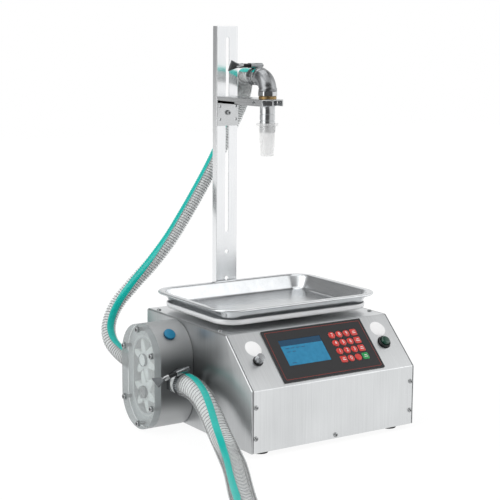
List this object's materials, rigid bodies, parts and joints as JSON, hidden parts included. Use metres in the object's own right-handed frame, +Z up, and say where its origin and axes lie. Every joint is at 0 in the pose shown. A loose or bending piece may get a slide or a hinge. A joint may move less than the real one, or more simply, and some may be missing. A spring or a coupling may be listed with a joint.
{
  "type": "liquid filling machine",
  "caption": "Bench liquid filling machine: sloping keypad housing, lobe pump with a clear cover, weighing tray, and a pole with a height-adjustable nozzle arm fed by a ribbed hose.",
  "frame": {"origin": "on the floor, in the middle of the rigid pieces' footprint, pump and pole included", "axes": "+Z up, +X to the machine's right as its user sees it, -Y towards the user at the keypad"},
  "size_m": [0.7969, 0.7791, 0.696],
  "materials": {
    "brushed_sheet": "brushed stainless sheet",
    "polished_steel": "polished stainless fittings",
    "dark_steel": "dark polished stainless pipe",
    "knob_metal": "dark knurled metal",
    "tray_steel": "bright pressed stainless",
    "support_aluminium": "pale satin aluminium",
    "pump_aluminium": "fine machined grey",
    "brass": "satin brass",
    "clear_acrylic": "clear polished acrylic",
    "white_seal": "pale silicone rubber",
    "white_nylon": "white nylon",
    "soft_silicone": "translucent white silicone",
    "blue_plastic": "satin blue plastic",
    "black_plastic": "black plastic",
    "black_rubber": "black rubber",
    "panel_film": "charcoal printed film",
    "lcd_blue": "blue backlit screen",
    "key_red": "red embossed key",
    "key_green": "green embossed key",
    "green_cap": "dark green cap",
    "clear_hose": "clear hose with a wire coil and a turquoise stripe",
    "motor_paint": "dark grey paint"
  },
  "bodies": {
    "machine": {"housing_wrap": "brushed_sheet", "left_side_panel": "brushed_sheet", "right_side_panel": "brushed_sheet", "base_plate": "brushed_sheet", "back_panel": "brushed_sheet", "foot_front_left": "black_rubber", "foot_front_right": "black_rubber", "foot_rear_left": "black_rubber", "foot_rear_right": "black_rubber", "mains_inlet": "black_plastic", "pole": "brushed_sheet", "pump_body": "pump_aluminium", "pump_plug": "blue_plastic", "pump_cover": "clear_acrylic", "cover_seal": "white_seal", "suction_port": "polished_steel", "delivery_port": "polished_steel", "suction_clamp": "polished_steel", "delivery_clamp": "polished_steel", "pump_motor": "motor_paint", "tray_support": "support_aluminium", "load_cell": "support_aluminium", "load_cell_crossbar": "brushed_sheet", "control_overlay": "panel_film", "lcd_screen": "lcd_blue", "button_bezel": "black_plastic", "suction_hose": "clear_hose", "delivery_hose": "clear_hose"},
    "arm": {"arm_bracket": "brushed_sheet", "arm_clamp_bolt": "polished_steel", "nozzle_lock_nut": "polished_steel", "brass_ring": "brass", "nozzle_elbow": "dark_steel", "nozzle_tube": "dark_steel", "nozzle_tip": "soft_silicone", "nozzle_clamp": "polished_steel"},
    "thumb_key": {"clamp_thumb_key": "dark_steel"},
    "suction_thumb_key": {"suction_thumb_key": "dark_steel"},
    "upper_rotor": {"upper_rotor": "white_nylon"},
    "lower_rotor": {"lower_rotor": "white_nylon"},
    "tray": {"weighing_tray": "tray_steel"},
    "flow_knob": {"flow_knob": "knob_metal"},
    "start_button": {"start_button": "green_cap"},
    "power_switch": {"power_switch": "black_plastic"},
    "key_function_a": {"key_function_a": "key_red"},
    "key_0": {"key_0": "key_red"},
    "key_point": {"key_point": "key_red"},
    "key_function_go": {"key_function_go": "key_green"},
    "key_1": {"key_1": "key_red"},
    "key_2": {"key_2": "key_red"},
    "key_3": {"key_3": "key_red"},
    "key_function_b": {"key_function_b": "key_red"},
    "key_4": {"key_4": "key_red"},
    "key_5": {"key_5": "key_red"},
    "key_6": {"key_6": "key_red"},
    "key_function_c": {"key_function_c": "key_red"},
    "key_7": {"key_7": "key_red"},
    "key_8": {"key_8": "key_red"},
    "key_9": {"key_9": "key_red"},
    "key_function_d": {"key_function_d": "key_red"}
  },
  "joints": [
    {"name": "arm_height", "type": "slide", "parent": "machine", "child": "arm", "axis": [0, 0, 1], "range_m": [-0.2, 0.13], "deforming": ["delivery_hose"]},
    {"name": "thumb_key_turn", "type": "hinge", "parent": "arm", "child": "thumb_key", "pos_m": [0.04706, 0.07415, 0.62685], "axis": [1, 0, 0], "continuous": true},
    {"name": "suction_thumb_key_turn", "type": "hinge", "parent": "machine", "child": "suction_thumb_key", "pos_m": [-0.16348, -0.02595, 0.11989], "axis": [0.9659, 0, 0.2588], "continuous": true},
    {"name": "lower_rotor_spin", "type": "hinge", "parent": "machine", "child": "lower_rotor", "pos_m": [-0.14294, 0.06085, 0.067], "axis": [1, 0, 0], "continuous": true},
    {"name": "upper_rotor_spin", "type": "hinge", "parent": "machine", "child": "upper_rotor", "pos_m": [-0.14294, 0.06085, 0.124], "axis": [1, 0, 0], "continuous": true},
    {"name": "tray_lift", "type": "slide", "parent": "machine", "child": "tray", "axis": [0, 0, 1], "range_m": [0, 0.04]},
    {"name": "flow_knob_turn", "type": "hinge", "parent": "machine", "child": "flow_knob", "pos_m": [-0.08594, -0.14053, 0.15015], "axis": [0, -0.6936, 0.7203], "range_deg": [-150, 150]},
    {"name": "start_button_press", "type": "slide", "parent": "machine", "child": "start_button", "axis": [0, 0.6936, -0.7203], "range_m": [0, 0.003], "stiffness_N_per_m": 900},
    {"name": "power_switch_rock", "type": "hinge", "parent": "machine", "child": "power_switch", "pos_m": [0.14206, 0.16615, 0.075], "axis": [1, 0, 0], "range_deg": [0, 18]},
    {"name": "key_function_a_press", "type": "slide", "parent": "machine", "child": "key_function_a", "axis": [0, 0.6936, -0.7203], "range_m": [0, 0.0005], "stiffness_N_per_m": 3000},
    {"name": "key_0_press", "type": "slide", "parent": "machine", "child": "key_0", "axis": [0, 0.6936, -0.7203], "range_m": [0, 0.0005], "stiffness_N_per_m": 3000},
    {"name": "key_point_press", "type": "slide", "parent": "machine", "child": "key_point", "axis": [0, 0.6936, -0.7203], "range_m": [0, 0.0005], "stiffness_N_per_m": 3000},
    {"name": "key_function_go_press", "type": "slide", "parent": "machine", "child": "key_function_go", "axis": [0, 0.6936, -0.7203], "range_m": [0, 0.0005], "stiffness_N_per_m": 3000},
    {"name": "key_1_press", "type": "slide", "parent": "machine", "child": "key_1", "axis": [0, 0.6936, -0.7203], "range_m": [0, 0.0005], "stiffness_N_per_m": 3000},
    {"name": "key_2_press", "type": "slide", "parent": "machine", "child": "key_2", "axis": [0, 0.6936, -0.7203], "range_m": [0, 0.0005], "stiffness_N_per_m": 3000},
    {"name": "key_3_press", "type": "slide", "parent": "machine", "child": "key_3", "axis": [0, 0.6936, -0.7203], "range_m": [0, 0.0005], "stiffness_N_per_m": 3000},
    {"name": "key_function_b_press", "type": "slide", "parent": "machine", "child": "key_function_b", "axis": [0, 0.6936, -0.7203], "range_m": [0, 0.0005], "stiffness_N_per_m": 3000},
    {"name": "key_4_press", "type": "slide", "parent": "machine", "child": "key_4", "axis": [0, 0.6936, -0.7203], "range_m": [0, 0.0005], "stiffness_N_per_m": 3000},
    {"name": "key_5_press", "type": "slide", "parent": "machine", "child": "key_5", "axis": [0, 0.6936, -0.7203], "range_m": [0, 0.0005], "stiffness_N_per_m": 3000},
    {"name": "key_6_press", "type": "slide", "parent": "machine", "child": "key_6", "axis": [0, 0.6936, -0.7203], "range_m": [0, 0.0005], "stiffness_N_per_m": 3000},
    {"name": "key_function_c_press", "type": "slide", "parent": "machine", "child": "key_function_c", "axis": [0, 0.6936, -0.7203], "range_m": [0, 0.0005], "stiffness_N_per_m": 3000},
    {"name": "key_7_press", "type": "slide", "parent": "machine", "child": "key_7", "axis": [0, 0.6936, -0.7203], "range_m": [0, 0.0005], "stiffness_N_per_m": 3000},
    {"name": "key_8_press", "type": "slide", "parent": "machine", "child": "key_8", "axis": [0, 0.6936, -0.7203], "range_m": [0, 0.0005], "stiffness_N_per_m": 3000},
    {"name": "key_9_press", "type": "slide", "parent": "machine", "child": "key_9", "axis": [0, 0.6936, -0.7203], "range_m": [0, 0.0005], "stiffness_N_per_m": 3000},
    {"name": "key_function_d_press", "type": "slide", "parent": "machine", "child": "key_function_d", "axis": [0, 0.6936, -0.7203], "range_m": [0, 0.0005], "stiffness_N_per_m": 3000}
  ],
  "couplings": [
    {"joint": "upper_rotor_spin", "follows": "lower_rotor_spin", "ratio": -1}
  ]
}
